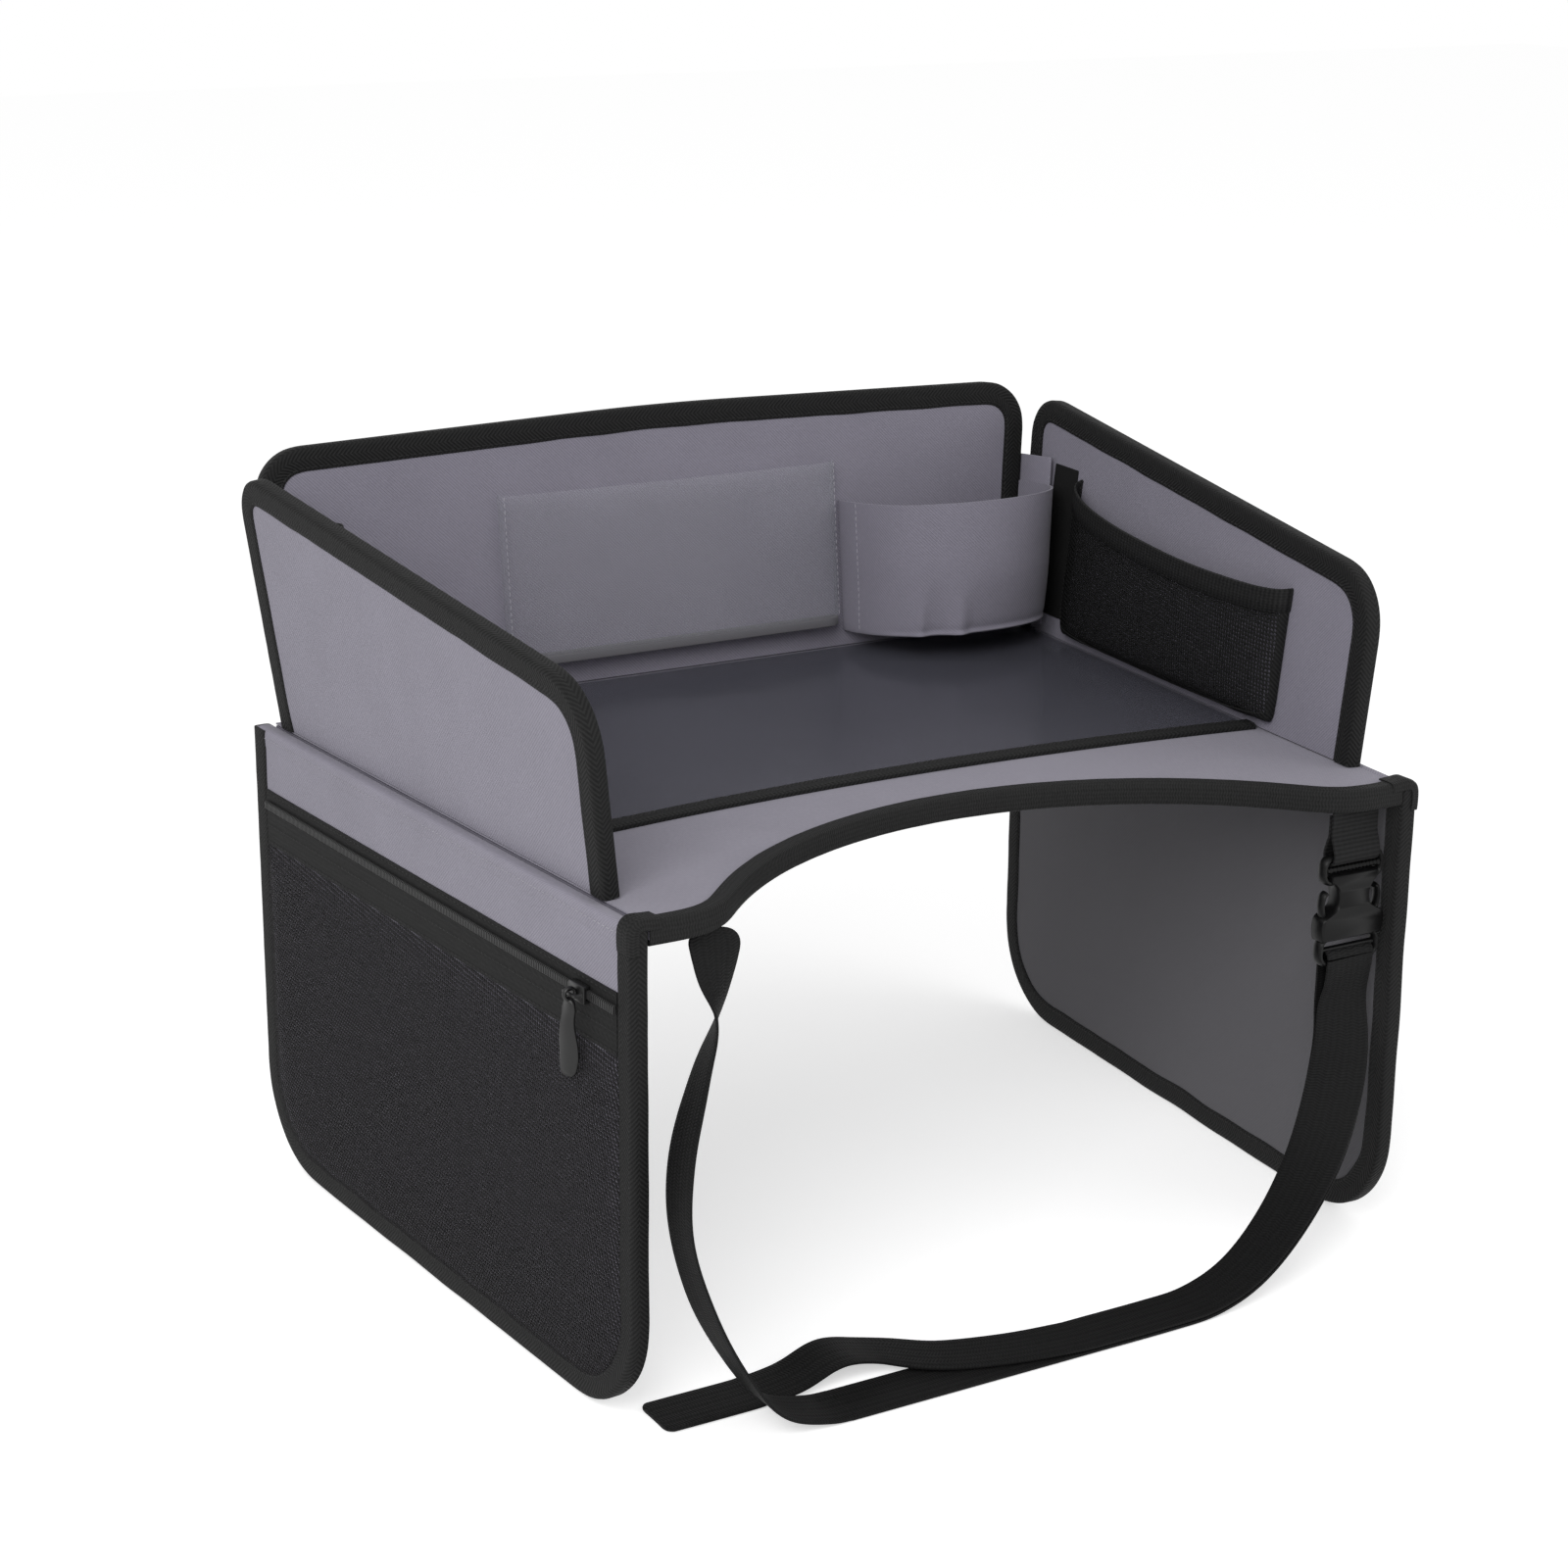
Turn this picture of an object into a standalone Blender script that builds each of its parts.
"""Car seat tray table: a padded tray with three folding walls, two hanging side flaps
with zipped mesh pockets, and a webbing strap with a side-release buckle.

Metres, +Z up, +Y towards the back wall, +X to the right. The table stands on the floor
z = 0 on the lower edges of its flaps, and the origin is below the middle of its box.
"""

import math

import bmesh
import bpy
from mathutils import Matrix, Vector

# Clearances and cutters
GAP = 0.0003  # between pieces that lie on each other
OVERRUN = 0.002  # how far a cutter passes the face that it cuts

# Sewn panels: a board between two cloth covers, its edge bound with folded tape
CLOTH = 0.0008
WALL_BOARD = 0.0030
TRAY_CLOTH = 0.0010
TRAY_BOARD = 0.0050
TAPE_WIDTH = 0.0100
TAPE_THICK = 0.0010
TAPE_ROUND = 0.0005

# Tray in plan: y = 0 is the line of the side walls' front ends
LIP = 0.0310
TRAY_BACK = 0.2880
FRONT_HALF = 0.1810
BACK_HALF = 0.2030
BELLY_DEPTH = 0.0750
BELLY_SHOULDER = 0.0310  # from the tray's corner to the belly circle's end
BELLY_FILLET = 0.0350

# Side walls
SIDE_LEAN = math.radians(6.0)
SIDE_FRONT_HEIGHT = 0.0820
SIDE_BACK_HEIGHT = 0.1160
SIDE_FRONT_ROUND = 0.0280
SIDE_BACK_ROUND = 0.0160
SIDE_BACK_SWEEP = 0.0120  # how far the back edge leans past its foot
SIDE_BACK_CLEAR = 0.0040  # from the back edge's foot to the back wall

# Back wall
BACK_LEAN = math.radians(6.0)
BACK_CORNER_HEIGHT = 0.1210
BACK_ARCH_RISE = 0.0050  # of the middle over the corners
BACK_ARCH_REACH = 0.0410  # from the middle to each end of the arch's round
BACK_CORNER_ROUND = 0.0200
BACK_EDGE_CLEAR = 0.0048  # from a side wall's inner face to the back wall's board
BACK_TAPE_FOOT = 0.0090  # the bound edge starts this high, so the wall can fold flat
BACK_HINGE_SET = 0.0005  # from the tray's back edge to the fold

# Flaps
FLAP_HEIGHT = 0.2069
FLAP_DROP = 0.0018  # from the tray's top to the flap's upper edge
FLAP_REAR_REACH = 0.0060
FLAP_FRONT_ROUND = 0.0440
FLAP_REAR_ROUND = 0.0450

# Corner tabs that hold the back wall to the side walls
TAB_FOOT = 0.0100
TAB_HEIGHT = 0.0750
TAB_THICK = 0.0012
TAB_LAP = 0.0090  # sewn length on the back wall
TAB_REACH = 0.0280  # length along the side wall
TAB_BEND_STEPS = 4
FASTENER_LENGTH = 0.0210
FASTENER_THICK = 0.0010
FASTENER_SET = 0.0030  # how far the strip starts in front of the tab's end

# Pockets
POCKET_CLOTH = 0.0010
CUP_LEFT = 0.0940
CUP_FOOT = 0.0085
CUP_RIM = 0.0720
CUP_DEPTH = 0.0610
CUP_TAB_CLEAR = 0.0016
CUP_TAPE_MARGIN = 0.0040
MARKER_FRONT = 0.0900
MARKER_LENGTH = 0.1420
MARKER_FOOT = 0.0080
MARKER_RIM = 0.0580
MARKER_DEPTH = 0.0200
CRAYON_FRONT = 0.0570
CRAYON_BACK_CLEAR = 0.0430  # from the pocket to the wall's back end
CRAYON_FOOT = 0.0060
CRAYON_RIM_FRONT = 0.0660
CRAYON_RIM_BACK = 0.0810
CRAYON_RIM_SAG = 0.0090
CRAYON_DEPTH = 0.0110
MESH_THICK = 0.0008
BAND_WIDTH = 0.0120
BAND_THICK = 0.0009
TABLET_HALF = 0.0890
TABLET_FOOT = 0.0160
TABLET_RIM = 0.0920
TABLET_DEPTH = 0.0110
TABLET_FILM = 0.0005
LEDGE_HEIGHT = 0.0040

# Pen loop on the left wall
LOOP_AT = 0.2370
LOOP_FOOT = 0.0900
LOOP_WIDTH = 0.0080
LOOP_HALF = 0.0090
LOOP_DEPTH = 0.0150
LOOP_THICK = 0.0010

# Clear film over the dark drawing panel
FILM_FRONT = 0.0820
FILM_SIDE_FRONT = 0.0680
FILM_MARGIN = 0.0020
FILM_BACK_CLEAR = 0.0035
PANEL_THICK = 0.0006
FILM_THICK = 0.0004
FILM_TAPE_LAP = 0.0080
FILM_TAPE_THICK = 0.0008

# Zipped mesh pocket on each flap
BAND_DEPTH = 0.0270  # plain cloth above the zip
ZIP_TAPE_HEIGHT = 0.0260
ZIP_TAPE_THICK = 0.0008
COIL_DROP = 0.0340
COIL_WIDTH = 0.0040
COIL_THICK = 0.0014
MESH_CROWN = 0.0045
MESH_EDGE = 0.0008
MESH_SLOPE = 0.0080
SLIDER_AT = 0.0350
SLIDER_LENGTH = 0.0110
SLIDER_WALL = 0.0012
BRIDGE_BAR = 0.0012
BRIDGE_POST = 0.0015
BRIDGE_RISE = 0.0035
PULL_RING = 0.0023
PULL_EYE = 0.0013
PULL_WIDTH = 0.0055
PULL_THICK = 0.0014
PULL_LENGTH = 0.0330

# Strap and buckle: heights are above the floor
WEB_WIDTH = 0.0250
WEB_THICK = 0.0015
STRAP_INSET = 0.0320  # from the tray's left front corner to the strap's middle
BUCKLE_INSET = 0.0190  # from its right front corner to the buckle's middle
STRAP_Y = -0.0240
STRAP_REACH = 0.0500  # floor run's centre line in front of y = 0
STRAP_BULGE = 0.0260  # how far the left drop swings out
TAIL_Y = -0.0235
TAIL_OVERREACH = 0.0270  # how far the tail's end passes the left anchor
TAIL_CREST = 0.0080
BUCKLE_DROP = 0.0191  # from the bound front edge's underside to the buckle
BUCKLE_HEIGHT = 0.0510
BUCKLE_HALF = 0.0170
BUCKLE_WAIST_HALF = 0.0128
BUCKLE_MOUTH_HALF = 0.0155
BUCKLE_HALF_DEPTH = 0.0045
BUCKLE_SHELL = 0.0015
LOOP_BAR = 0.0025
LOOP_HALF_DEPTH = 0.0020
LOOP_CORNER = 0.0030
LOOP_SLOT = 0.0058
LOOP_ZONE = 0.0105
MOUTH_DROP = 0.0387  # from the buckle's top to the socket's mouth
SOCKET_DROP = 0.0130
WINDOW_HEIGHT = 0.0175
SHOULDER_HEIGHT = 0.0070
PLUG_STEP = 0.0005  # from the plug's thick head to its thinner bar frame
MALE_SLOT = 0.0040
MALE_BAR = 0.0055
GUIDE_HALF = 0.0040
GUIDE_LENGTH = 0.0165
ARM_INNER = 0.0084
ARM_THICK = 0.0024
ARM_BULB = 0.0154
ARM_LENGTH = 0.0233
ARM_HALF_DEPTH = 0.0025

# Smoothness of curved edges
BELLY_STEPS = 18
FILLET_STEPS = 4
CORNER_STEPS = 5
FLAP_ROUND_STEPS = 7
POCKET_COLUMNS = 14
FILM_STEPS = 10
TURN_STEPS = 6
EYE_STEPS = 12
STRAP_STEPS = 4
BUCKLE_STEPS = 3

# Values that follow from the sizes above
WALL_THICK = 2 * CLOTH + 2 * GAP + WALL_BOARD
TRAY_THICK = 2 * TRAY_CLOTH + 2 * GAP + TRAY_BOARD
TAPE_PROUD = GAP + TAPE_THICK
TRAY_TOP = FLAP_HEIGHT + FLAP_DROP + TAPE_PROUD
TAPER = (BACK_HALF - FRONT_HALF) / (TRAY_BACK + LIP)
SIDE_TURN = math.atan(TAPER)
BACK_FOLD_Y = TRAY_BACK + BACK_HINGE_SET
FLAP_SET = TAPE_PROUD + GAP  # from the tray's side edge to the flap
FLAP_LENGTH = (LIP + TRAY_BACK + FLAP_REAR_REACH) / math.cos(SIDE_TURN)
SIDE_LENGTH = (BACK_FOLD_Y - WALL_THICK - SIDE_BACK_CLEAR) / math.cos(SIDE_TURN)
CRAYON_LENGTH = SIDE_LENGTH - CRAYON_FRONT - CRAYON_BACK_CLEAR
BOUND = TAPE_WIDTH + GAP  # what is sewn on a panel starts inside its tape
FRONT_END = -STRAP_REACH - WEB_WIDTH / 2
BACK_MIDDLE_HEIGHT = BACK_CORNER_HEIGHT + BACK_ARCH_RISE
REAR_LEAN = (BACK_MIDDLE_HEIGHT + TAPE_PROUD) * math.sin(BACK_LEAN)
REAR_END = BACK_FOLD_Y + REAR_LEAN + TAPE_PROUD * math.cos(BACK_LEAN)
MIDDLE_Y = (FRONT_END + REAR_END) / 2
TAPE_UNDER = TRAY_TOP - TRAY_THICK - TAPE_PROUD
BUCKLE_TOP = TAPE_UNDER - BUCKLE_DROP
STRAP_X = FRONT_HALF - STRAP_INSET
BUCKLE_X = FRONT_HALF - BUCKLE_INSET
TAIL_END_X = -STRAP_X - TAIL_OVERREACH

# Colours: base colour, roughness, metallic
LOOKS = {
    "grey_oxford": ((0.246, 0.238, 0.268), 0.85, 0.0),
    "dark_lining": ((0.080, 0.078, 0.090), 0.80, 0.0),
    "black_tape": ((0.014, 0.014, 0.013), 0.75, 0.0),
    "black_mesh": ((0.020, 0.020, 0.021), 0.80, 0.0),
    "black_elastic": ((0.012, 0.012, 0.012), 0.70, 0.0),
    "webbing": ((0.012, 0.012, 0.012), 0.65, 0.0),
    "black_plastic": ((0.015, 0.015, 0.017), 0.35, 0.0),
    "zip_enamel": ((0.016, 0.016, 0.016), 0.30, 0.0),
    "zip_nylon": ((0.016, 0.016, 0.016), 0.45, 0.0),
    "foam_board": ((0.550, 0.550, 0.530), 0.90, 0.0),
    "clear_film": ((0.800, 0.820, 0.850), 0.08, 0.0),
}


# Scene set-up


def clear_scene():
    for item in list(bpy.data.objects):
        bpy.data.objects.remove(item, do_unlink=True)


def new_collection(name):
    collection = bpy.data.collections.new(name)
    bpy.context.scene.collection.children.link(collection)
    return collection


clear_scene()
PARTS = new_collection("tray_table")
CUTTERS = new_collection("cutters")


def make_material(name):
    colour, roughness, metallic = LOOKS[name]
    material = bpy.data.materials.new(name)
    material.use_nodes = True
    shader = material.node_tree.nodes["Principled BSDF"]
    shader.inputs["Base Color"].default_value = (*colour, 1.0)
    shader.inputs["Roughness"].default_value = roughness
    shader.inputs["Metallic"].default_value = metallic
    return material


MATERIALS = {name: make_material(name) for name in LOOKS}


def place(item, parent, depth=0.0):
    """Links an object under its parent, raised along the parent's own Z."""
    PARTS.objects.link(item)
    item.parent = parent
    item.location = (0.0, 0.0, depth)
    return item


def frame(name, parent, origin, along=(1, 0, 0), up=(0, 1, 0)):
    """An empty whose X runs along, whose Y is up, and whose Z is square to both."""
    x = Vector(along).normalized()
    z = x.cross(Vector(up)).normalized()
    y = z.cross(x)
    axes = Matrix((x, y, z)).transposed().to_4x4()
    empty = bpy.data.objects.new(name, None)
    PARTS.objects.link(empty)
    empty.parent = parent
    empty.matrix_basis = Matrix.Translation(origin) @ axes
    return empty


# Shapes


def arc(centre, radius, start, end, steps):
    """Points on an arc from one angle to another, both ends included."""
    angles = [start + (end - start) * i / steps for i in range(steps + 1)]
    return [
        (centre[0] + radius * math.cos(a), centre[1] + radius * math.sin(a))
        for a in angles
    ]


def rounded(corners, steps=CORNER_STEPS):
    """Turns (x, y, radius) corners into points. The first and last stay sharp."""
    points = [corners[0][:2]]
    for before, here, after in zip(corners, corners[1:], corners[2:]):
        corner = Vector(here[:2])
        a = (Vector(before[:2]) - corner).normalized()
        b = (Vector(after[:2]) - corner).normalized()
        if here[2] == 0:
            points.append(tuple(corner))
            continue
        half = a.angle(b) / 2
        centre = corner + (a + b).normalized() * (here[2] / math.sin(half))
        reach = here[2] / math.tan(half)
        first, last = corner + a * reach - centre, corner + b * reach - centre
        turn = first.angle_signed(last)
        start = math.atan2(first.y, first.x)
        points += arc(centre, here[2], start, start - turn, steps)
    return points + [corners[-1][:2]]


def plate(name, outline, thickness, look, parent, depth=0.0):
    """A flat sheet or board: a filled outline given half its thickness each way."""
    curve = bpy.data.curves.new(name, "CURVE")
    curve.dimensions = "2D"
    curve.fill_mode = "BOTH"
    curve.extrude = thickness / 2
    spline = curve.splines.new("POLY")
    spline.points.add(len(outline) - 1)
    for point, (x, y) in zip(spline.points, outline):
        point.co = (x, y, 0.0, 1.0)
    spline.use_cyclic_u = True
    curve.materials.append(MATERIALS[look])
    return place(bpy.data.objects.new(name, curve), parent, depth)


def mesh_object(name, bm, look, parent, depth=0.0):
    mesh = bpy.data.meshes.new(name)
    bm.to_mesh(mesh)
    bm.free()
    mesh.materials.append(MATERIALS[look])
    return place(bpy.data.objects.new(name, mesh), parent, depth)


def loft(name, rings, look, parent, depth=0.0):
    """A closed body through rings of as many points each, with both ends capped."""
    bm = bmesh.new()
    loops = [[bm.verts.new(point) for point in ring] for ring in rings]
    for near, far in zip(loops, loops[1:]):
        for i in range(len(near)):
            j = (i + 1) % len(near)
            bm.faces.new((near[i], near[j], far[j], far[i]))
    bm.faces.new(list(reversed(loops[0])))
    bm.faces.new(loops[-1])
    bmesh.ops.recalc_face_normals(bm, faces=bm.faces)
    return mesh_object(name, bm, look, parent, depth)


def mitres(path, side):
    """For each point of a flat path: the point, its run and its mitred inward way.

    side is 1 where the panel lies left of the path and -1 where it lies right of it.
    """
    points = [Vector(p) for p in path]
    rows = []
    for i, point in enumerate(points):
        a = (point - points[i - 1]).normalized() if i else None
        b = (points[i + 1] - point).normalized() if i + 1 < len(points) else None
        a, b = a or b, b or a
        run = (a + b).normalized()
        rows.append((point, run, Vector((-run.y, run.x)) * (side / run.dot(a))))
    return rows


def sweep(name, path, side, section, look, parent, depth=0.0, level=False):
    """Carries a section of (inward, height) points along a flat path.

    With level the two ends are cut square to the Y axis.
    """
    rings = []
    for i, (point, run, inward) in enumerate(mitres(path, side)):
        ring = [point + inward * d for d, _ in section]
        if level and i in (0, len(path) - 1):
            ring = [p + run * ((point.y - p.y) / run.y) for p in ring]
        rings.append([(p.x, p.y, h) for p, (_, h) in zip(ring, section)])
    return loft(name, rings, look, parent, depth)


def tape_section(thickness):
    """The folded tape round a panel's edge, as (inward, height) points."""
    outer, slot = thickness / 2 + TAPE_PROUD, thickness / 2 + GAP
    return [
        (TAPE_WIDTH, outer),
        (TAPE_ROUND - TAPE_PROUD, outer),
        (-TAPE_PROUD, outer - TAPE_ROUND),
        (-TAPE_PROUD, TAPE_ROUND - outer),
        (TAPE_ROUND - TAPE_PROUD, -outer),
        (TAPE_WIDTH, -outer),
        (TAPE_WIDTH, -slot),
        (-GAP, -slot),
        (-GAP, slot),
        (TAPE_WIDTH, slot),
    ]


def solid_from(item):
    """Makes a curve object a mesh, so that it can be cut and joined."""
    bpy.context.view_layer.update()
    depsgraph = bpy.context.evaluated_depsgraph_get()
    mesh = bpy.data.meshes.new_from_object(item.evaluated_get(depsgraph))
    bm = bmesh.new()
    bm.from_mesh(mesh)
    bmesh.ops.remove_doubles(bm, verts=bm.verts, dist=GAP / 10)
    bmesh.ops.recalc_face_normals(bm, faces=bm.faces)
    bm.to_mesh(mesh)
    bm.free()
    name, parent, basis = item.name, item.parent, item.matrix_basis.copy()
    bpy.data.objects.remove(item, do_unlink=True)
    solid = bpy.data.objects.new(name, mesh)
    PARTS.objects.link(solid)
    solid.parent = parent
    solid.matrix_basis = basis
    return solid


def as_cutter(item):
    PARTS.objects.unlink(item)
    CUTTERS.objects.link(item)
    item.hide_render = True
    item.hide_viewport = False
    item.display_type = "WIRE"
    return item


def combine(item, other, operation):
    """Cuts or joins a solid with another, which then only guides it."""
    modifier = item.modifiers.new(operation.lower(), "BOOLEAN")
    modifier.operation = operation
    modifier.object = as_cutter(other)
    return item


def box(name, low, high, look, parent):
    bm = bmesh.new()
    bmesh.ops.create_cube(bm, size=1)
    low, high = Vector(low), Vector(high)
    bmesh.ops.scale(bm, vec=high - low, verts=bm.verts)
    bmesh.ops.translate(bm, vec=(low + high) / 2, verts=bm.verts)
    return mesh_object(name, bm, look, parent)


# Where the panels stand


def half_width(y):
    """Half of the tray's width at a distance behind the walls' front ends."""
    return FRONT_HALF + TAPER * (y + LIP)


def inner_half(y):
    """From the middle to a side wall's inner face, at its foot."""
    return half_width(y) - WALL_THICK / math.cos(SIDE_TURN)


def back_half(height):
    """Half of the back wall's width, which widens as the side walls lean out."""
    foot = inner_half(BACK_FOLD_Y - WALL_THICK) - BACK_EDGE_CLEAR
    return foot + height * math.tan(SIDE_LEAN)


def side_frame(name, root, side, y, out, z, lean):
    """A frame on a side edge: X runs backwards along it and Y goes up."""
    along = Vector((side * math.sin(SIDE_TURN), math.cos(SIDE_TURN), 0.0))
    outward = Vector((side * math.cos(SIDE_TURN), -math.sin(SIDE_TURN), 0.0))
    up = Vector((0.0, 0.0, math.cos(lean))) + outward * math.sin(lean)
    origin = Vector((side * half_width(y), y, z)) + outward * out
    return frame(name, root, origin, along, up)


def panel(
    prefix, outline, path, path_side, into, parent, level=True, lining="grey_oxford"
):
    """A bound wall or flap. into is 1 or -1, the way from its outer face inwards."""
    depth = CLOTH / 2
    plate(f"{prefix}_outer_cover", outline, CLOTH, "grey_oxford", parent, into * depth)
    depth = CLOTH + GAP + WALL_BOARD / 2
    plate(f"{prefix}_board", outline, WALL_BOARD, "foam_board", parent, into * depth)
    depth = WALL_THICK - CLOTH / 2
    plate(f"{prefix}_inner_cover", outline, CLOTH, lining, parent, into * depth)
    section = tape_section(WALL_THICK)
    middle = into * WALL_THICK / 2
    name = f"{prefix}_binding"
    sweep(name, path, path_side, section, "black_tape", parent, middle, level)


# Tray


def belly_edge():
    """The tray's front edge from its left corner to its right one."""
    half_chord = FRONT_HALF - BELLY_SHOULDER
    radius = (half_chord**2 + BELLY_DEPTH**2) / (2 * BELLY_DEPTH)
    centre_y = BELLY_DEPTH - LIP - radius
    fillet_y = BELLY_FILLET - LIP
    reach = radius + BELLY_FILLET
    fillet_x = math.sqrt(reach**2 - (fillet_y - centre_y) ** 2)
    tilt = math.atan2(fillet_y - centre_y, fillet_x)
    quarter = math.pi / 2
    left = arc((-fillet_x, fillet_y), BELLY_FILLET, -quarter, -tilt, FILLET_STEPS)
    belly = arc((0, centre_y), radius, math.pi - tilt, tilt, BELLY_STEPS)
    right = [(-x, y) for x, y in reversed(left)]
    corner = (FRONT_HALF, -LIP)
    return [(-corner[0], corner[1]), *left, *belly[1:-1], *right, corner]


def make_tray(root):
    edge = belly_edge()
    back = [(BACK_HALF, TRAY_BACK), (-BACK_HALF, TRAY_BACK)]
    outline = edge + back
    lining = [tuple(point + inward * BOUND) for point, _, inward in mitres(edge, 1)]
    base = frame("tray_plane", root, (0.0, 0.0, TRAY_TOP))
    depth = -TRAY_CLOTH / 2
    plate("tray_top_cover", outline, TRAY_CLOTH, "grey_oxford", base, depth)
    depth = -TRAY_CLOTH - GAP - TRAY_BOARD / 2
    plate("tray_board", outline, TRAY_BOARD, "foam_board", base, depth)
    depth = TRAY_CLOTH / 2 - TRAY_THICK
    plate("tray_lining", lining + back, TRAY_CLOTH, "dark_lining", base, depth)
    section = tape_section(TRAY_THICK)
    depth = -TRAY_THICK / 2
    sweep("tray_front_binding", edge, 1, section, "black_tape", base, depth)
    make_film(base)


def film_edge():
    """The film's front edge, bowed back in the middle, from left to right."""
    half = inner_half(FILM_SIDE_FRONT) - FILM_MARGIN
    bow = FILM_FRONT - FILM_SIDE_FRONT
    shares = [2 * i / FILM_STEPS - 1 for i in range(FILM_STEPS + 1)]
    return [(half * s, FILM_FRONT - bow * s * s) for s in shares]


def make_film(base):
    edge = film_edge()
    y = BACK_FOLD_Y - WALL_THICK - FILM_BACK_CLEAR
    half = inner_half(y) - FILM_MARGIN
    outline = edge + [(half, y), (-half, y)]
    low = GAP + PANEL_THICK
    plate("drawing_panel", outline, PANEL_THICK, "dark_lining", base, low / 2 + GAP / 2)
    film = low + GAP
    plate("clear_film", outline, FILM_THICK, "clear_film", base, film + FILM_THICK / 2)
    top = film + FILM_THICK + GAP
    lip = GAP + FILM_TAPE_THICK
    section = [
        (FILM_TAPE_LAP, top),
        (FILM_TAPE_LAP, top + FILM_TAPE_THICK),
        (-lip, top + FILM_TAPE_THICK),
        (-lip, GAP),
        (-GAP, GAP),
        (-GAP, top),
    ]
    sweep("film_front_tape", edge, 1, section, "black_tape", base)


# Walls


def make_side_wall(root, side):
    name = "left_wall" if side < 0 else "right_wall"
    fold = side_frame(
        f"{name}_fold", root, side, 0.0, 0.0, TRAY_TOP + GAP, SIDE_LEAN
    )
    path = rounded(
        [
            (0.0, 0.0, 0.0),
            (0.0, SIDE_FRONT_HEIGHT, SIDE_FRONT_ROUND),
            (SIDE_LENGTH + SIDE_BACK_SWEEP, SIDE_BACK_HEIGHT, SIDE_BACK_ROUND),
            (SIDE_LENGTH, 0.0, 0.0),
        ]
    )
    panel(name, path, path, -1, -side, fold)
    make_fastener(fold, name, side)
    return fold


def make_fastener(fold, name, side):
    """The loop strip on a side wall that its corner tab presses on."""
    tab_end = SIDE_LENGTH - TAB_REACH + SIDE_BACK_CLEAR
    start = tab_end - FASTENER_SET - FASTENER_LENGTH / 2
    end = start + FASTENER_LENGTH
    top = TAB_FOOT + TAB_HEIGHT
    outline = [(start, TAB_FOOT), (end, TAB_FOOT), (end, top), (start, top)]
    depth = -side * (WALL_THICK + GAP + FASTENER_THICK / 2)
    name = f"{name}_fastener"
    plate(name, outline, FASTENER_THICK, "black_elastic", fold, depth)


def back_outline(foot):
    """The back wall's sides and arched top, from its left foot to its right one."""
    corner = (back_half(BACK_CORNER_HEIGHT), BACK_CORNER_HEIGHT, BACK_CORNER_ROUND)
    arch_round = BACK_ARCH_REACH * corner[0] / BACK_ARCH_RISE
    return rounded(
        [
            (-back_half(foot), foot, 0.0),
            (-corner[0], corner[1], corner[2]),
            (0.0, BACK_MIDDLE_HEIGHT, arch_round),
            corner,
            (back_half(foot), foot, 0.0),
        ]
    )


def make_back_wall(root):
    origin = (0.0, BACK_FOLD_Y, TRAY_TOP + GAP)
    up = (0.0, math.sin(BACK_LEAN), math.cos(BACK_LEAN))
    fold = frame("back_wall_fold", root, origin, (1.0, 0.0, 0.0), up)
    panel("back_wall", back_outline(0.0), back_outline(BACK_TAPE_FOOT), -1, 1, fold)
    for side in (-1, 1):
        make_corner_tab(fold, side)
    make_cup_pocket(fold)
    make_tablet_pocket(fold)
    return fold


def tab_line(height):
    """A corner tab's middle line at one height, as (across, inward) points."""
    edge = back_half(height) + TAPE_PROUD
    lift = TAPE_PROUD + GAP + TAB_THICK / 2
    out = edge + GAP + TAB_THICK / 2
    bend = out - edge + TAPE_PROUD
    points = [(edge - TAB_LAP, -lift)]
    centre = (out - bend, bend - lift)
    points += arc(centre, bend, -math.pi / 2, 0.0, TAB_BEND_STEPS)
    past = WALL_THICK + TAPE_PROUD + GAP
    reach = WALL_THICK + TAB_REACH - past
    points.append((out, past))
    points.append((out - TAPER * reach / 2, past + reach / 2))
    points.append((out - TAPER * reach, past + reach))
    return points


def make_corner_tab(fold, side):
    """A tab sewn behind the back wall's edge, bent forward inside the side wall."""
    name = "left_corner_tab" if side < 0 else "right_corner_tab"
    low, high = TAB_FOOT, TAB_FOOT + TAB_HEIGHT
    foot, head = tab_line(low), tab_line(high)
    rings = []
    for i, (a, b) in enumerate(zip(foot, head)):
        before, after = foot[max(i - 1, 0)], foot[min(i + 1, len(foot) - 1)]
        run = (Vector(after) - Vector(before)).normalized()
        across = Vector((-run.y, run.x)) * (TAB_THICK / 2)
        ring = [
            (a[0] - across.x, low, a[1] - across.y),
            (a[0] + across.x, low, a[1] + across.y),
            (b[0] + across.x, high, b[1] + across.y),
            (b[0] - across.x, high, b[1] - across.y),
        ]
        rings.append([(side * x, y, z) for x, y, z in ring])
    loft(name, rings, "grey_oxford", fold)


# Pockets

# How square each bowed sheet is in plan: 1 is a half ellipse, and less is squarer
CUP_BOW = 0.72
MARKER_BOW = 0.45
CRAYON_BOW = 0.55
TABLET_BOW = 0.40

# A pocket's rows from its rim to its closed foot: shares of its height, of its
# width and of its depth
POCKET_ROW_SHARES = (
    (1.00, 1.00, 1.00),
    (0.70, 1.00, 1.00),
    (0.40, 1.00, 0.99),
    (0.17, 1.00, 0.94),
    (0.05, 0.99, 0.82),
    (0.00, 0.98, 0.55),
    (0.00, 0.97, 0.02),
)
OPEN_ROW_SHARES = ((1.0, 1.0, 1.0), (0.5, 1.0, 1.0), (0.0, 1.0, 1.0))


def flush(u, v):
    """The least bow of a sheet that lies on a panel's plain cloth."""
    return 0.0


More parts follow.
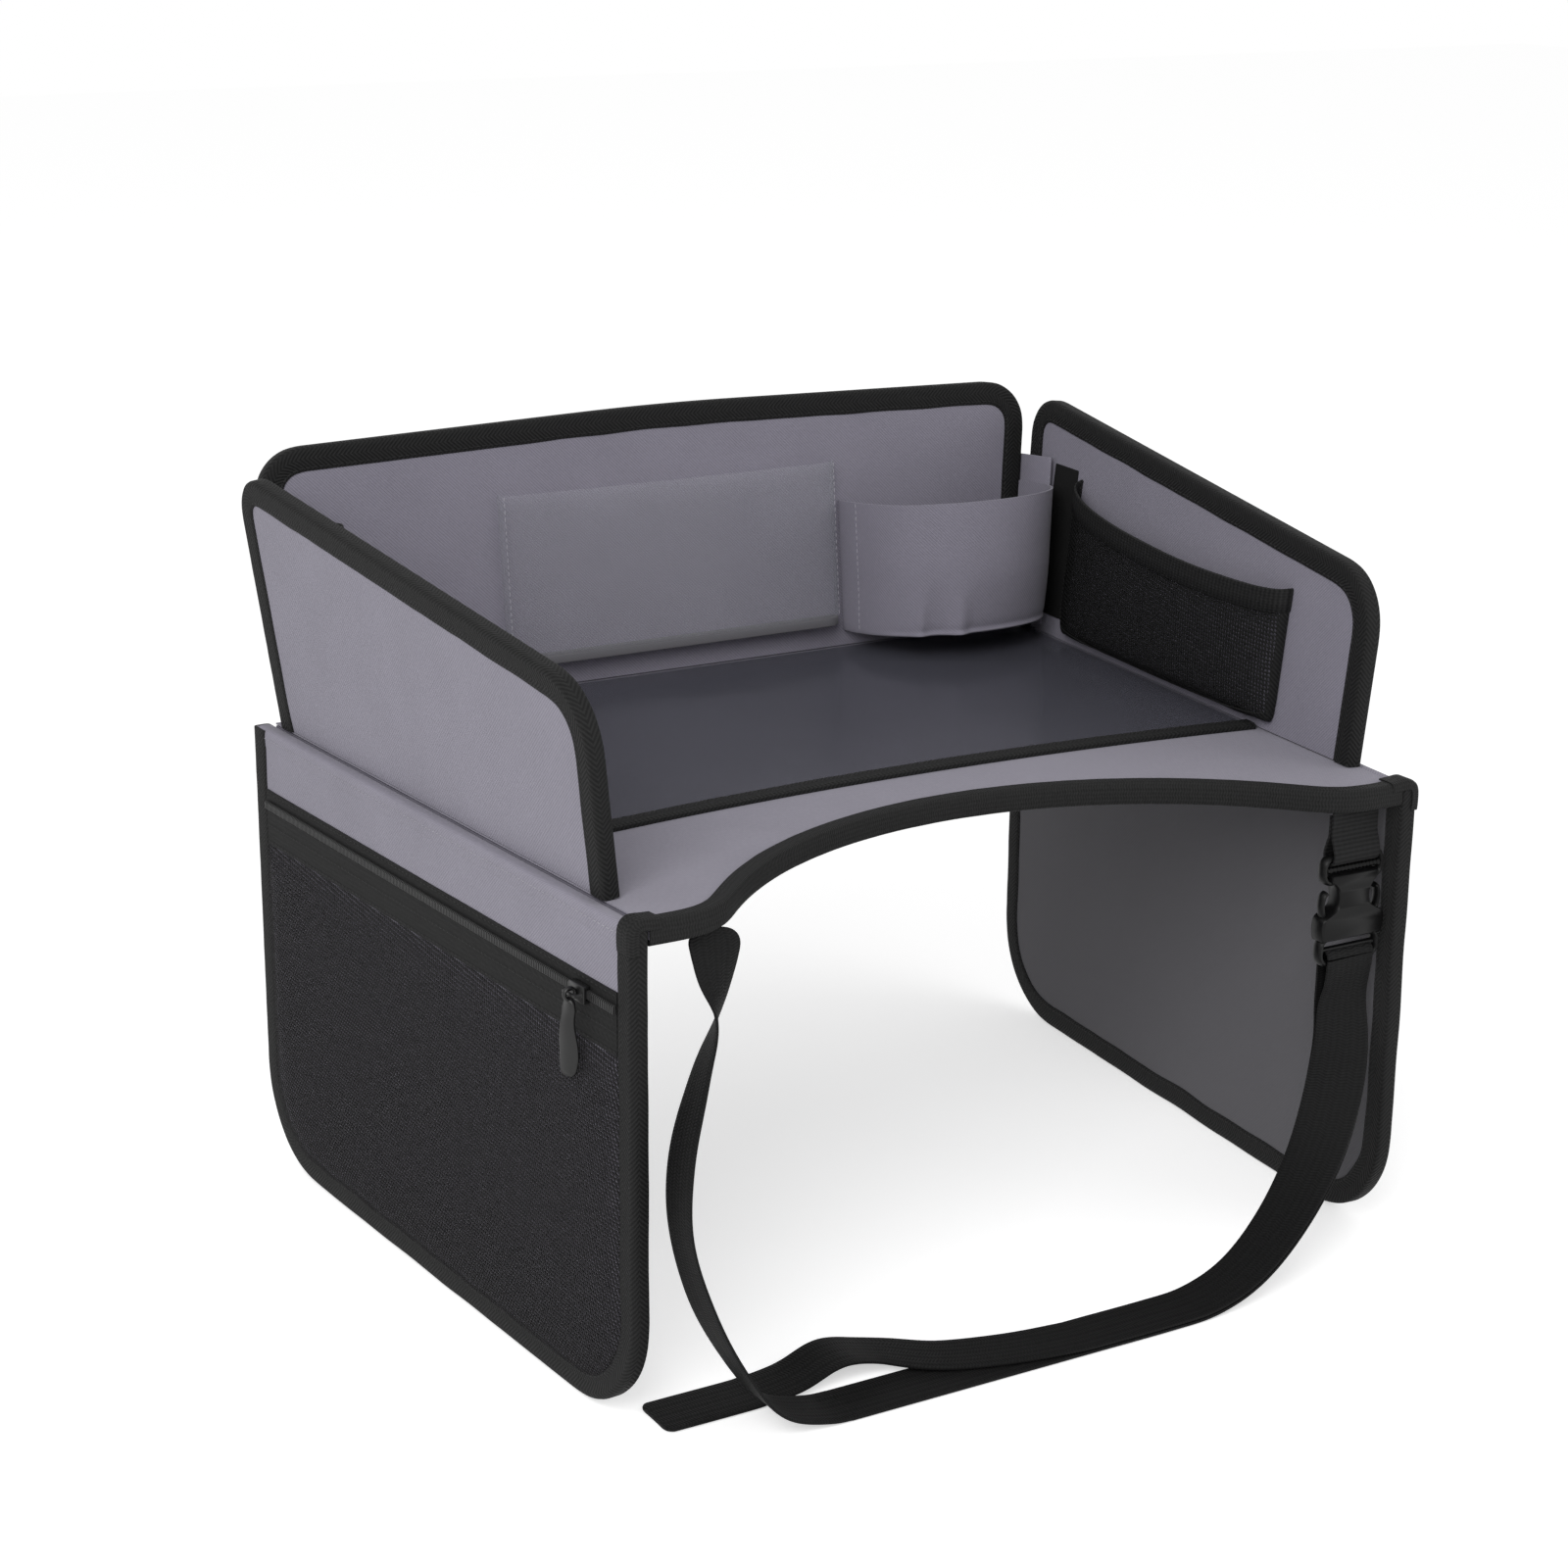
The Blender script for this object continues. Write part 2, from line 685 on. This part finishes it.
def bowed_sheet(
    name, parent, into, ends, foot, rim, depth, power, rows, thick, look, proud=flush
):
    """A sheet bowed off a panel's inner face, thickened away from the panel.

    ends(v) gives its two sides at a height and rim(t) its upper edge. into is 1 or
    -1, the way from the panel's outer face in.
    proud(u, v) is the least bow where the sheet passes over the panel's tape.
    """
    bm = bmesh.new()
    grid = []
    for rise, width, share in rows:
        line = []
        for i in range(POCKET_COLUMNS + 1):
            t = i / POCKET_COLUMNS
            angle = math.pi * (1 - t)
            v = foot + (rim(t) - foot) * rise
            left, right = ends(v)
            u = (left + right) / 2 + (right - left) / 2 * width * math.cos(angle)
            bow = depth * share * max(math.sin(angle), 0.0) ** power
            bow = max(bow, proud(u, v))
            line.append(bm.verts.new((u, v, into * (WALL_THICK + GAP + bow))))
        grid.append(line)
    for upper, lower in zip(grid, grid[1:]):
        for i in range(POCKET_COLUMNS):
            bm.faces.new((upper[i], lower[i], lower[i + 1], upper[i + 1]))
    item = mesh_object(name, bm, look, parent)
    solidify = item.modifiers.new("cloth", "SOLIDIFY")
    solidify.thickness = thick
    solidify.offset = into
    solidify.use_even_offset = True
    return item


def make_cup_pocket(fold):
    """The corner pocket between the back wall and the right corner tab."""

    def ends(v):
        clear = CUP_TAB_CLEAR + TAB_THICK / 2
        return CUP_LEFT, back_half(v) + TAPE_PROUD - clear

    def proud(u, v):
        return TAPE_PROUD if u > back_half(v) - TAPE_WIDTH - CUP_TAPE_MARGIN else 0.0

    bowed_sheet(
        "cup_pocket",
        fold,
        1,
        ends,
        CUP_FOOT,
        lambda t: CUP_RIM,
        CUP_DEPTH,
        CUP_BOW,
        POCKET_ROW_SHARES,
        POCKET_CLOTH,
        "grey_oxford",
        proud,
    )


def make_tablet_pocket(fold):
    """A clear sleeve for a tablet, with a ledge under it."""
    bowed_sheet(
        "tablet_sleeve",
        fold,
        1,
        lambda v: (-TABLET_HALF, TABLET_HALF),
        TABLET_FOOT + GAP,
        lambda t: TABLET_RIM,
        TABLET_DEPTH,
        TABLET_BOW,
        OPEN_ROW_SHARES,
        TABLET_FILM,
        "clear_film",
    )
    low, high = TABLET_FOOT - LEDGE_HEIGHT, TABLET_FOOT
    depth = WALL_THICK + GAP + TABLET_DEPTH + TABLET_FILM
    inset = TABLET_DEPTH
    shape = rounded(
        [
            (-TABLET_HALF, WALL_THICK + GAP, 0.0),
            (-TABLET_HALF, depth, inset),
            (TABLET_HALF, depth, inset),
            (TABLET_HALF, WALL_THICK + GAP, 0.0),
        ]
    )
    rings = [[(u, v, h) for u, h in shape] for v in (low, high)]
    loft("tablet_ledge", rings, "dark_lining", fold)


def make_marker_pocket(fold):
    bowed_sheet(
        "marker_pocket",
        fold,
        1,
        lambda v: (MARKER_FRONT, MARKER_FRONT + MARKER_LENGTH),
        MARKER_FOOT,
        lambda t: MARKER_RIM,
        MARKER_DEPTH,
        MARKER_BOW,
        POCKET_ROW_SHARES,
        POCKET_CLOTH,
        "grey_oxford",
    )


def make_crayon_pocket(fold):
    """A mesh pocket on the right wall under a sagging elastic band."""

    def rim(t):
        line = CRAYON_RIM_FRONT + (CRAYON_RIM_BACK - CRAYON_RIM_FRONT) * t
        return line - CRAYON_RIM_SAG * math.sin(math.pi * t)

    def ends(v):
        return CRAYON_FRONT, CRAYON_FRONT + CRAYON_LENGTH

    bowed_sheet(
        "crayon_pocket_mesh",
        fold,
        -1,
        ends,
        CRAYON_FOOT,
        rim,
        CRAYON_DEPTH,
        CRAYON_BOW,
        POCKET_ROW_SHARES,
        MESH_THICK,
        "black_mesh",
    )
    rings = []
    for i in range(POCKET_COLUMNS + 1):
        t = i / POCKET_COLUMNS
        angle = math.pi * (1 - t)
        bow = CRAYON_DEPTH * max(math.sin(angle), 0.0) ** CRAYON_BOW
        near = WALL_THICK + GAP + bow + MESH_THICK + GAP
        reach = CRAYON_LENGTH / 2 + MESH_THICK + GAP
        u = CRAYON_FRONT + CRAYON_LENGTH / 2 + reach * math.cos(angle)
        low, high = rim(t) - BAND_WIDTH, rim(t)
        far = near + BAND_THICK
        rings.append([(u, low, -near), (u, low, -far), (u, high, -far), (u, high, -near)])
    loft("crayon_pocket_band", rings, "black_elastic", fold)


def make_pen_loop(fold):
    """An elastic loop that stands off the left wall's inner face."""
    face = WALL_THICK + GAP + LOOP_THICK / 2
    rings = []
    for i in range(2 * CORNER_STEPS + 1):
        angle = math.pi * i / (2 * CORNER_STEPS)
        out = Vector((math.cos(angle), math.sin(angle)))
        centre = Vector((LOOP_AT + LOOP_HALF * out.x, face + LOOP_DEPTH * out.y))
        across = Vector((out.x * LOOP_DEPTH, out.y * LOOP_HALF)).normalized()
        near, far = centre - across * LOOP_THICK / 2, centre + across * LOOP_THICK / 2
        low, high = LOOP_FOOT, LOOP_FOOT + LOOP_WIDTH
        rings.append(
            [
                (near.x, low, near.y),
                (far.x, low, far.y),
                (far.x, high, far.y),
                (near.x, high, near.y),
            ]
        )
    loft("pen_loop", rings, "black_elastic", fold)


# Flaps


def make_flap(root, side):
    name = "left_flap" if side < 0 else "right_flap"
    out = FLAP_SET + WALL_THICK
    hinge = side_frame(
        f"{name}_hinge", root, side, -LIP, out, TRAY_TOP - FLAP_DROP, 0.0
    )
    path = rounded(
        [
            (0.0, 0.0, 0.0),
            (0.0, -FLAP_HEIGHT, FLAP_FRONT_ROUND),
            (FLAP_LENGTH, -FLAP_HEIGHT, FLAP_REAR_ROUND),
            (FLAP_LENGTH, 0.0, 0.0),
        ],
        FLAP_ROUND_STEPS,
    )
    panel(name, path, path, 1, -side, hinge, lining="dark_lining")
    make_mesh_pocket(hinge, name, side)
    make_zip(hinge, name, side)
    return hinge


def make_mesh_pocket(hinge, name, side):
    """The empty zipped pocket: a low pillow of mesh inside the flap's binding."""
    head = -(BAND_DEPTH + ZIP_TAPE_HEIGHT + GAP)

    def outline(inset):
        left, right = BOUND + inset, FLAP_LENGTH - BOUND - inset
        foot = BOUND + inset - FLAP_HEIGHT
        corners = [
            (left, head - inset, 0.0),
            (left, foot, FLAP_FRONT_ROUND - BOUND - inset),
            (right, foot, FLAP_REAR_ROUND - BOUND - inset),
            (right, head - inset, 0.0),
        ]
        return rounded(corners, FLAP_ROUND_STEPS)

    levels = (
        (0.0, GAP),
        (0.0, GAP + MESH_EDGE),
        (MESH_SLOPE / 2, MESH_CROWN * 2 / 3),
        (MESH_SLOPE * 2, MESH_CROWN),
    )
    rings = [[(u, v, side * h) for u, v in outline(inset)] for inset, h in levels]
    loft(f"{name}_mesh_pocket", rings, "black_mesh", hinge)


def make_zip(hinge, name, side):
    left, right = BOUND, FLAP_LENGTH - BOUND
    high, low = -BAND_DEPTH, -BAND_DEPTH - ZIP_TAPE_HEIGHT
    outline = [(left, low), (right, low), (right, high), (left, high)]
    tape = GAP + ZIP_TAPE_THICK / 2
    plate(
        f"{name}_zip_tape", outline, ZIP_TAPE_THICK, "black_tape", hinge, side * tape
    )
    coil_low = GAP + ZIP_TAPE_THICK + GAP
    half = COIL_WIDTH / 2
    high, low = half - COIL_DROP, -half - COIL_DROP
    outline = [(left, low), (right, low), (right, high), (left, high)]
    coil = side * (coil_low + COIL_THICK / 2)
    plate(f"{name}_zip_coil", outline, COIL_THICK, "zip_nylon", hinge, coil)
    make_slider(hinge, name, side, coil_low)


def make_slider(hinge, name, side, coil_low):
    """The slider straddles the coil and carries its pull on a raised bar."""
    inner = COIL_WIDTH / 2 + GAP
    outer = inner + SLIDER_WALL
    roof = coil_low + COIL_THICK + GAP
    top = roof + SLIDER_WALL
    seat = frame(
        f"{name}_slider_seat",
        hinge,
        (SLIDER_AT, -COIL_DROP, 0.0),
        (0.0, 1.0, 0.0),
        (0.0, 0.0, side),
    )
    channel = [
        (-outer, coil_low),
        (-inner, coil_low),
        (-inner, roof),
        (inner, roof),
        (inner, coil_low),
        (outer, coil_low),
        (outer, top),
        (-outer, top),
    ]
    slider = plate(f"{name}_zip_slider", channel, SLIDER_LENGTH, "zip_enamel", seat)
    slider = solid_from(slider)
    bar_top = top + BRIDGE_RISE
    bar_low = bar_top - BRIDGE_BAR
    half = SLIDER_LENGTH / 2 - BRIDGE_POST / 2
    bridge = [
        (-half, top - OVERRUN / 4),
        (BRIDGE_POST - half, top - OVERRUN / 4),
        (BRIDGE_POST - half, bar_low),
        (half - BRIDGE_POST, bar_low),
        (half - BRIDGE_POST, top - OVERRUN / 4),
        (half, top - OVERRUN / 4),
        (half, bar_top),
        (-half, bar_top),
    ]
    lengthwise = frame(
        f"{name}_bridge_seat",
        hinge,
        (SLIDER_AT, -COIL_DROP, 0.0),
        (1.0, 0.0, 0.0),
        (0.0, 0.0, side),
    )
    arch = plate(f"{name}_bridge", bridge, BRIDGE_BAR, "zip_enamel", lengthwise)
    combine(slider, solid_from(arch), "UNION")
    make_pull(hinge, name, side, (bar_top + bar_low) / 2)


def make_pull(hinge, name, side, bar):
    """The pull: an eye round the slider's bar and a flat stem that hangs from it."""
    origin = (SLIDER_AT, -COIL_DROP, side * bar)
    pivot = frame(
        f"{name}_pull_pivot", hinge, origin, (0.0, 1.0, 0.0), (0.0, 0.0, side)
    )
    half = PULL_THICK / 2
    meet = math.asin(half / PULL_RING)
    ring = arc((0.0, 0.0), PULL_RING, math.pi - meet, meet - math.pi, EYE_STEPS)
    tip = PULL_THICK / 2
    stem = [(tip - PULL_LENGTH, -half), (-PULL_LENGTH, 0.0), (tip - PULL_LENGTH, half)]
    pull = plate(f"{name}_zip_pull", ring + stem, PULL_WIDTH, "zip_enamel", pivot)
    eye = arc((0.0, 0.0), PULL_EYE, 0.0, math.tau, EYE_STEPS)[:-1]
    hole = plate(f"{name}_pull_eye", eye, PULL_WIDTH + OVERRUN, "zip_enamel", pivot)
    combine(solid_from(pull), solid_from(hole), "DIFFERENCE")


# Strap and buckle


def smooth(points, steps):
    """Points on a smooth curve through the given ones, with steps between each two."""
    rows = [Vector(p) for p in points]
    rows = [rows[0] * 2 - rows[1], *rows, rows[-1] * 2 - rows[-2]]
    out = []
    for a, b, c, d in zip(rows, rows[1:], rows[2:], rows[3:]):
        for i in range(steps):
            t = i / steps
            out.append(
                b
                + (c - a) * (t / 2)
                + (a * 2 - b * 5 + c * 4 - d) * (t * t / 2)
                + (b * 3 - a - c * 3 + d) * (t**3 / 2)
            )
    return [*out, rows[-2]]


def ribbon_frames(places, widths):
    """For each place on a strap: the place, its width's direction and its normal.

    A place where an edge of the strap would dip below the floor is raised onto it.
    """
    rows = []
    for i, here in enumerate(places):
        before, after = places[max(i - 1, 0)], places[min(i + 1, len(places) - 1)]
        run = (after - before).normalized()
        across = (widths[i] - run * run.dot(widths[i])).normalized()
        normal = run.cross(across)
        reach = abs(across.z) * WEB_WIDTH / 2 + abs(normal.z) * WEB_THICK / 2
        raised = Vector((here.x, here.y, max(here.z, reach)))
        rows.append((raised, across, normal))
    return rows


def ribbon(name, rows, look, parent):
    w, t = WEB_WIDTH / 2, WEB_THICK / 2
    rings = [
        [p - a * w - n * t, p + a * w - n * t, p + a * w + n * t, p - a * w + n * t]
        for p, a, n in rows
    ]
    return loft(name, rings, look, parent)


# The long strap from under the left corner down, along the floor and up to the
# buckle: shares of its own end's distance from the middle, of the floor run's reach,
# of the height that the strap drops, and of the left drop's bulge, then the
# direction of its width
STRAP_DROP_SHARES = (
    ((-1.00, 0.00, 1.00, 0.00), (1.0, 0.0, 0.0)),
    ((-1.00, 0.04, 0.92, 0.00), (0.9, 0.4, 0.0)),
    ((-1.00, 0.15, 0.83, 0.05), (0.55, 0.83, 0.0)),
    ((-1.00, 0.35, 0.72, 0.45), (0.3, 0.95, 0.0)),
    ((-1.00, 0.60, 0.58, 0.88), (0.15, 1.0, 0.0)),
    ((-1.00, 0.80, 0.44, 1.00), (0.1, 1.0, 0.0)),
    ((-1.00, 0.94, 0.28, 0.70), (0.0, 1.0, 0.0)),
    ((-0.98, 1.00, 0.14, 0.28), (0.0, 1.0, 0.0)),
    ((-0.92, 1.00, 0.045, 0.06), (0.0, 1.0, 0.0)),
    ((-0.80, 1.00, 0.007, 0.00), (0.0, 1.0, 0.0)),
    ((-0.66, 1.00, 0.00, 0.00), (0.0, 1.0, 0.0)),
    ((-0.30, 1.00, 0.00, 0.00), (0.0, 1.0, 0.0)),
    ((0.05, 1.00, 0.00, 0.00), (0.0, 1.0, 0.0)),
    ((0.28, 1.00, 0.00, 0.00), (0.0, 1.0, 0.0)),
    ((0.45, 0.97, 0.005, 0.00), (-0.03, 1.0, 0.0)),
    ((0.60, 0.90, 0.045, 0.00), (-0.1, 1.0, 0.0)),
    ((0.74, 0.76, 0.13, 0.00), (-0.25, 0.97, 0.0)),
    ((0.86, 0.55, 0.24, 0.00), (-0.5, 0.87, 0.0)),
    ((0.94, 0.33, 0.36, 0.00), (-0.75, 0.66, 0.0)),
    ((0.98, 0.15, 0.48, 0.00), (-0.95, 0.3, 0.0)),
    ((1.00, -0.10, 0.60, 0.00), (-1.0, 0.0, 0.0)),
)
SHARED_FROM = 12  # the tail lies on the strap from this place of the table to the bar


def strap_line():
    """The long strap's places and width directions, up to the buckle's bar."""
    places, widths = [], []
    floor = WEB_THICK / 2
    for (across, reach, rise, bulge), width in STRAP_DROP_SHARES:
        x = across * (STRAP_X if across < 0 else BUCKLE_X) - bulge * STRAP_BULGE
        y = STRAP_Y - reach * (STRAP_REACH + STRAP_Y)
        z = floor + rise * (TAPE_UNDER - GAP - floor)
        places.append((x, y, z))
        widths.append(width)
    bar = male_bar_centre()
    back = STRAP_Y + bar_turn()
    places[-1] = (BUCKLE_X, back, (places[-2][2] + bar) / 2)
    places.append((BUCKLE_X, back, bar))
    widths.append(widths[-1])
    return places, widths


def bar_turn():
    """The webbing's radius, at its middle, where it turns round a buckle bar."""
    return math.hypot(LOOP_HALF_DEPTH, LOOP_BAR / 2) + GAP + WEB_THICK / 2


def male_bar_centre():
    """Where the webbing turns over the male half's bar."""
    return BUCKLE_TOP - BUCKLE_HEIGHT + MALE_BAR - LOOP_BAR / 2


def make_strap(root):
    places, widths = strap_line()
    line, across = smooth(places, STRAP_STEPS), smooth(widths, STRAP_STEPS)
    rows = ribbon_frames(line, across)
    bar, turn = male_bar_centre(), bar_turn()
    over = []
    for i in range(1, TURN_STEPS + 1):
        angle = math.pi * i / TURN_STEPS
        point = Vector((BUCKLE_X, STRAP_Y, bar))
        point += Vector((0.0, math.cos(angle), math.sin(angle))) * turn
        outward = Vector((0.0, -math.cos(angle), -math.sin(angle)))
        over.append((point, Vector((-1.0, 0.0, 0.0)), outward))
    ribbon("strap_webbing", rows + over, "webbing", root)
    make_tail(root, rows, turn)
    make_short_strap(root)


# The tail where it leaves the strap: shares of its run to the left, of its way aside,
# of the height at which it lay on the strap, and of its crest
TAIL_SHARES = (
    (0.00, 0.00, 1.00, 0.00),
    (0.16, 0.15, 1.00, 0.00),
    (0.32, 0.50, 1.00, 0.00),
    (0.44, 1.00, 1.00, 0.20),
    (0.56, 1.00, 0.00, 1.00),
    (0.67, 1.00, 0.00, 0.25),
    (0.80, 1.00, 0.00, 0.00),
    (1.00, 1.00, 0.00, 0.00),
)


def make_tail(root, rows, turn):
    """The loose end: down in front of the strap, on it along the floor, then beside it."""
    shared = rows[SHARED_FROM * STRAP_STEPS :]
    layer = WEB_THICK + GAP
    spread = 2 * turn
    tail = []
    for i, (place_, across, normal) in enumerate(reversed(shared)):
        share = min(i / (2 * STRAP_STEPS), 1.0)
        ease = share * share * (3 - 2 * share)
        apart = spread + (layer - spread) * ease
        tail.append((place_ + normal * apart, across, normal))
    start = tail[0]
    drop = Vector((0.0, 0.0, GAP))
    tail[0] = (start[0] - drop, start[1], start[2])
    last = tail[-1][0]
    low = WEB_THICK / 2
    rest = [tail[-2][0]]
    for along, aside, raised, crest in TAIL_SHARES:
        x = last.x + (TAIL_END_X - last.x) * along
        y = last.y + (TAIL_Y - last.y) * aside
        z = low + (last.z - low) * raised + TAIL_CREST * crest
        rest.append(Vector((x, y, z)))
    free = smooth(rest, STRAP_STEPS)[STRAP_STEPS + 1 :]
    level = [Vector((0.0, 1.0, 0.0))] * len(free)
    whole = [row[0] for row in tail] + free
    widths = [row[1] for row in tail] + level
    frames = ribbon_frames(whole, widths)
    ribbon("strap_tail", frames, "webbing", root)


# Where the short strap's two layers part above the buckle's bar, as shares of the
# height that they part over
SPREAD_SHARES = (0.6, 0.2)


def make_short_strap(root):
    """The sewn loop that hangs the buckle under the right corner."""
    turn, layer = bar_turn(), WEB_THICK + GAP
    bar = BUCKLE_TOP - LOOP_BAR / 2
    top = TAPE_UNDER - GAP
    spread = (top - bar) / 2

    def side_line(sign):
        return [
            (sign * layer / 2, top if sign < 0 else top - layer),
            (sign * layer / 2, bar + spread),
            (sign * (layer / 2 + turn) / 2, bar + spread * SPREAD_SHARES[0]),
            (sign * turn, bar + spread * SPREAD_SHARES[1]),
        ]

    round_bar = arc((0.0, bar), turn, math.pi, math.tau, TURN_STEPS)
    line = side_line(-1) + round_bar + list(reversed(side_line(1)))
    points = [Vector((BUCKLE_X, STRAP_Y + y, z)) for y, z in line]
    widths = [Vector((1.0, 0.0, 0.0))] * len(points)
    ribbon("buckle_strap", ribbon_frames(points, widths), "webbing", root)


def make_buckle(root):
    """The side-release buckle: its heights are measured down from its top."""
    seat = frame(
        "buckle_seat",
        root,
        (BUCKLE_X, STRAP_Y, BUCKLE_TOP),
        (1.0, 0.0, 0.0),
        (0.0, 0.0, 1.0),
    )
    make_socket(seat)
    make_plug(seat)
    for side in (-1, 1):
        make_arm(seat, side)


def mirrored(points):
    """Closes a right half, listed from top to bottom, with its mirror image."""
    return points + [(-x, y) for x, y in reversed(points)]


def make_socket(seat):
    window_low = -(MOUTH_DROP - SHOULDER_HEIGHT)
    shoulder = window_low - OVERRUN
    body = mirrored(
        [
            (BUCKLE_WAIST_HALF, -LOOP_ZONE + OVERRUN / 2),
            (BUCKLE_WAIST_HALF, window_low),
            (BUCKLE_MOUTH_HALF, shoulder),
            (BUCKLE_MOUTH_HALF, -MOUTH_DROP),
        ]
    )
    depth = 2 * BUCKLE_HALF_DEPTH
    socket = solid_from(plate("buckle_socket", body, depth, "black_plastic", seat))
    corners = [
        (0.0, 0.0, 0.0),
        (BUCKLE_HALF, 0.0, LOOP_CORNER),
        (BUCKLE_HALF, -LOOP_ZONE, LOOP_CORNER),
        (0.0, -LOOP_ZONE - OVERRUN, 0.0),
    ]
    shape = mirrored(rounded(corners, BUCKLE_STEPS)[1:-1])
    loop = plate("loop_frame", shape, 2 * LOOP_HALF_DEPTH, "black_plastic", seat)
    combine(socket, solid_from(loop), "UNION")
    web = WEB_WIDTH / 2 + GAP
    through = BUCKLE_HALF_DEPTH + OVERRUN
    low = (-web, -LOOP_BAR - LOOP_SLOT, -through)
    high = (web, -LOOP_BAR, through)
    slot = box("loop_slot", low, high, "black_plastic", seat)
    combine(socket, slot, "DIFFERENCE")
    inner = BUCKLE_HALF_DEPTH - BUCKLE_SHELL
    room = BUCKLE_WAIST_HALF - BUCKLE_SHELL
    low = (-room, -MOUTH_DROP - OVERRUN, -inner)
    high = (room, -SOCKET_DROP, inner)
    cavity = box("socket_cavity", low, high, "black_plastic", seat)
    combine(socket, cavity, "DIFFERENCE")
    wide = BUCKLE_MOUTH_HALF + OVERRUN
    low = (-wide, window_low, -inner)
    high = (wide, window_low + WINDOW_HEIGHT, inner)
    windows = box("socket_windows", low, high, "black_plastic", seat)
    combine(socket, windows, "DIFFERENCE")


def make_plug(seat):
    top, low = -MOUTH_DROP - GAP, -BUCKLE_HEIGHT
    shoulder = top - PLUG_STEP
    corners = [
        (0.0, shoulder, 0.0),
        (BUCKLE_HALF, shoulder, LOOP_CORNER / 2),
        (BUCKLE_HALF, low, LOOP_CORNER),
        (0.0, low, 0.0),
    ]
    shape = mirrored(rounded(corners, BUCKLE_STEPS)[1:-1])
    depth = 2 * LOOP_HALF_DEPTH
    plug = solid_from(plate("buckle_plug", shape, depth, "black_plastic", seat))
    wide, thick = BUCKLE_MOUTH_HALF, BUCKLE_HALF_DEPTH - GAP
    slot_top = low + MALE_BAR + MALE_SLOT
    low_corner = (-wide, slot_top + PLUG_STEP, -thick)
    head = box("plug_head", low_corner, (wide, top, thick), "black_plastic", seat)
    combine(plug, head, "UNION")
    inner = BUCKLE_HALF_DEPTH - BUCKLE_SHELL - GAP
    guide = box(
        "plug_guide",
        (-GUIDE_HALF, top - OVERRUN / 2, -inner),
        (GUIDE_HALF, top + GUIDE_LENGTH, inner),
        "black_plastic",
        seat,
    )
    combine(plug, guide, "UNION")
    web, through = WEB_WIDTH / 2 + GAP, LOOP_HALF_DEPTH + OVERRUN
    slot = box(
        "plug_slot",
        (-web, low + MALE_BAR, -through),
        (web, slot_top, through),
        "black_plastic",
        seat,
    )
    combine(plug, slot, "DIFFERENCE")


# How far up an arm's inner face its slanted tip starts, as a share of its length
ARM_TIP_SHARE = 0.8

# A release arm's outline from its root: shares of its length and, past its outer
# face, of its bulb's swell
ARM_OUTER_SHARES = (
    (0.00, 0.00),
    (0.40, 0.00),
    (0.49, 0.26),
    (0.59, 0.92),
    (0.72, 1.00),
    (0.91, 0.65),
    (1.00, 0.09),
)


def make_arm(seat, side):
    name = "buckle_left_arm" if side < 0 else "buckle_right_arm"
    root_y = -MOUTH_DROP
    middle = ARM_INNER + ARM_THICK / 2
    pivot = frame(f"{name}_pivot", seat, (side * middle, root_y, 0.0))
    half = ARM_THICK / 2
    swell = ARM_BULB - ARM_INNER - ARM_THICK
    outer = [(half + swell * s, ARM_LENGTH * t) for t, s in ARM_OUTER_SHARES]
    shape = [(-half, 0.0), *outer, (-half / 2, ARM_LENGTH), (-half, ARM_LENGTH * ARM_TIP_SHARE)]
    shape = [(side * x, y) for x, y in shape]
    plate(name, shape, 2 * ARM_HALF_DEPTH, "black_plastic", pivot)


def build():
    root = bpy.data.objects.new("tray_table_origin", None)
    PARTS.objects.link(root)
    root.location = (0.0, -MIDDLE_Y, 0.0)
    make_tray(root)
    left = make_side_wall(root, -1)
    right = make_side_wall(root, 1)
    make_marker_pocket(left)
    make_pen_loop(left)
    make_crayon_pocket(right)
    make_back_wall(root)
    for side in (-1, 1):
        make_flap(root, side)
    make_strap(root)
    make_buckle(root)


build()
